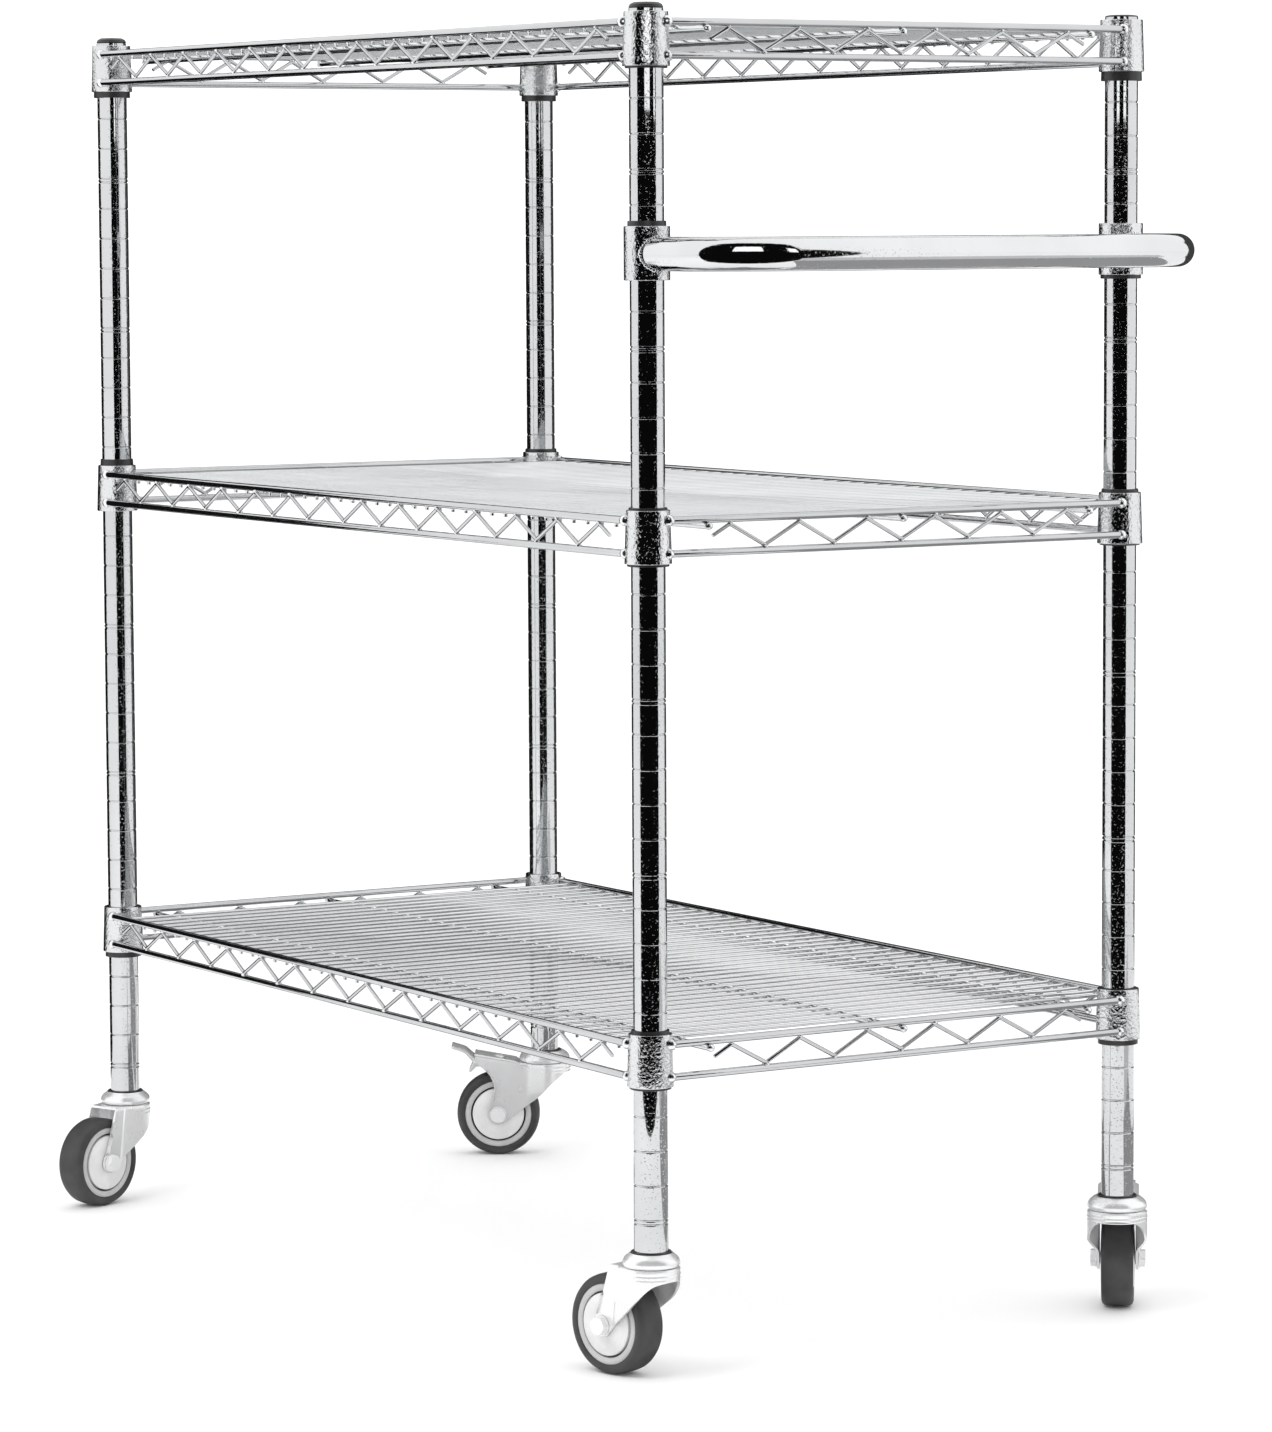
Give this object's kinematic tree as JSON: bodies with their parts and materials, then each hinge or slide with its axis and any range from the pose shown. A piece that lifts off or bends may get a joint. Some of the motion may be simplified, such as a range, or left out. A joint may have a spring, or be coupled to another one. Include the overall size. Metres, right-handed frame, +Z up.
{
  "type": "laundry cart",
  "caption": "Wheeled chrome wire shelf cart for linen, with welded zigzag-trussed shelves on grooved posts, a push handle and braked swivel casters.",
  "frame": {"origin": "on the floor, under the middle of the cart's bounding box", "axes": "+X along the shelves towards the push handle, +Y towards the right hand of the person who pushes, +Z up"},
  "size_m": [1.0456, 0.5568, 1.0008],
  "materials": {
    "chrome": "bright nickel-chrome plating",
    "zinc_plate": "bright zinc plated pressed steel",
    "grey_plastic": "moulded light grey polypropylene",
    "grey_rubber": "matt dark grey thermoplastic rubber",
    "black_plastic": "moulded black plastic"
  },
  "bodies": {
    "root": {"post_front_left": "chrome", "post_front_right": "chrome", "post_rear_left": "chrome", "post_rear_right": "chrome", "post_cap_front_left": "black_plastic", "post_cap_front_right": "black_plastic", "post_cap_rear_left": "black_plastic", "post_cap_rear_right": "black_plastic", "shelf_frame_top": "chrome", "shelf_deck_top": "chrome", "shelf_frame_middle": "chrome", "shelf_deck_middle": "chrome", "shelf_frame_bottom": "chrome", "shelf_deck_bottom": "chrome", "sleeve_top_front_left": "black_plastic", "sleeve_top_front_right": "black_plastic", "sleeve_top_rear_left": "black_plastic", "sleeve_top_rear_right": "black_plastic", "sleeve_middle_front_left": "black_plastic", "sleeve_middle_front_right": "black_plastic", "sleeve_middle_rear_left": "black_plastic", "sleeve_middle_rear_right": "black_plastic", "sleeve_bottom_front_left": "black_plastic", "sleeve_bottom_front_right": "black_plastic", "sleeve_bottom_rear_left": "black_plastic", "sleeve_bottom_rear_right": "black_plastic", "sleeve_handle_rear_left": "black_plastic", "sleeve_handle_rear_right": "black_plastic", "push_handle": "chrome", "caster_stem_front_left": "zinc_plate", "caster_head_front_left": "zinc_plate", "caster_stem_front_right": "zinc_plate", "caster_head_front_right": "zinc_plate", "caster_stem_rear_left": "zinc_plate", "caster_head_rear_left": "zinc_plate", "caster_stem_rear_right": "zinc_plate", "caster_head_rear_right": "zinc_plate"},
    "swivel_front_left": {"caster_fork_front_left": "zinc_plate", "axle_bolt_front_left": "zinc_plate", "axle_bushing_front_left": "black_plastic"},
    "wheel_front_left": {"wheel_hub_front_left": "grey_plastic", "tyre_front_left": "grey_rubber"},
    "swivel_front_right": {"caster_fork_front_right": "zinc_plate", "axle_bolt_front_right": "zinc_plate", "axle_bushing_front_right": "black_plastic"},
    "wheel_front_right": {"wheel_hub_front_right": "grey_plastic", "tyre_front_right": "grey_rubber"},
    "pedal_front_right": {"brake_pedal_front_right": "zinc_plate"},
    "swivel_rear_left": {"caster_fork_rear_left": "zinc_plate", "axle_bolt_rear_left": "zinc_plate", "axle_bushing_rear_left": "black_plastic"},
    "wheel_rear_left": {"wheel_hub_rear_left": "grey_plastic", "tyre_rear_left": "grey_rubber"},
    "swivel_rear_right": {"caster_fork_rear_right": "zinc_plate", "axle_bolt_rear_right": "zinc_plate", "axle_bushing_rear_right": "black_plastic"},
    "wheel_rear_right": {"wheel_hub_rear_right": "grey_plastic", "tyre_rear_right": "grey_rubber"},
    "pedal_rear_right": {"brake_pedal_rear_right": "zinc_plate"}
  },
  "joints": [
    {"name": "caster_swivel_front_left", "type": "hinge", "parent": "root", "child": "swivel_front_left", "pos_m": [-0.46752, -0.20706, 0.085], "axis": [0, 0, 1], "continuous": true},
    {"name": "wheel_spin_front_left", "type": "hinge", "parent": "swivel_front_left", "child": "wheel_front_left", "pos_m": [-0.4551, -0.24032, 0.0375], "axis": [-0.9368, -0.3499, 0], "continuous": true},
    {"name": "caster_swivel_front_right", "type": "hinge", "parent": "root", "child": "swivel_front_right", "pos_m": [-0.46752, 0.21494, 0.085], "axis": [0, 0, 1], "continuous": true},
    {"name": "wheel_spin_front_right", "type": "hinge", "parent": "swivel_front_right", "child": "wheel_front_right", "pos_m": [-0.48948, 0.17913, 0.0375], "axis": [-0.8525, 0.5227, 0], "continuous": true},
    {"name": "brake_pedal_front_right", "type": "hinge", "parent": "swivel_front_right", "child": "pedal_front_right", "pos_m": [-0.49732, 0.16634, 0.0855], "axis": [-0.8525, 0.5227, 0], "range_deg": [-18, 0]},
    {"name": "caster_swivel_rear_left", "type": "hinge", "parent": "root", "child": "swivel_rear_left", "pos_m": [0.40248, -0.20706, 0.085], "axis": [0, 0, 1], "continuous": true},
    {"name": "wheel_spin_rear_left", "type": "hinge", "parent": "swivel_rear_left", "child": "wheel_rear_left", "pos_m": [0.36798, -0.21544, 0.0375], "axis": [-0.2359, 0.9718, 0], "continuous": true},
    {"name": "caster_swivel_rear_right", "type": "hinge", "parent": "root", "child": "swivel_rear_right", "pos_m": [0.40248, 0.21494, 0.085], "axis": [0, 0, 1], "continuous": true},
    {"name": "wheel_spin_rear_right", "type": "hinge", "parent": "swivel_rear_right", "child": "wheel_rear_right", "pos_m": [0.36917, 0.24052, 0.0375], "axis": [0.6091, 0.7931, 0], "continuous": true},
    {"name": "brake_pedal_rear_right", "type": "hinge", "parent": "swivel_rear_right", "child": "pedal_rear_right", "pos_m": [0.35727, 0.24965, 0.0855], "axis": [0.6091, 0.7931, 0], "range_deg": [0, 18]}
  ]
}
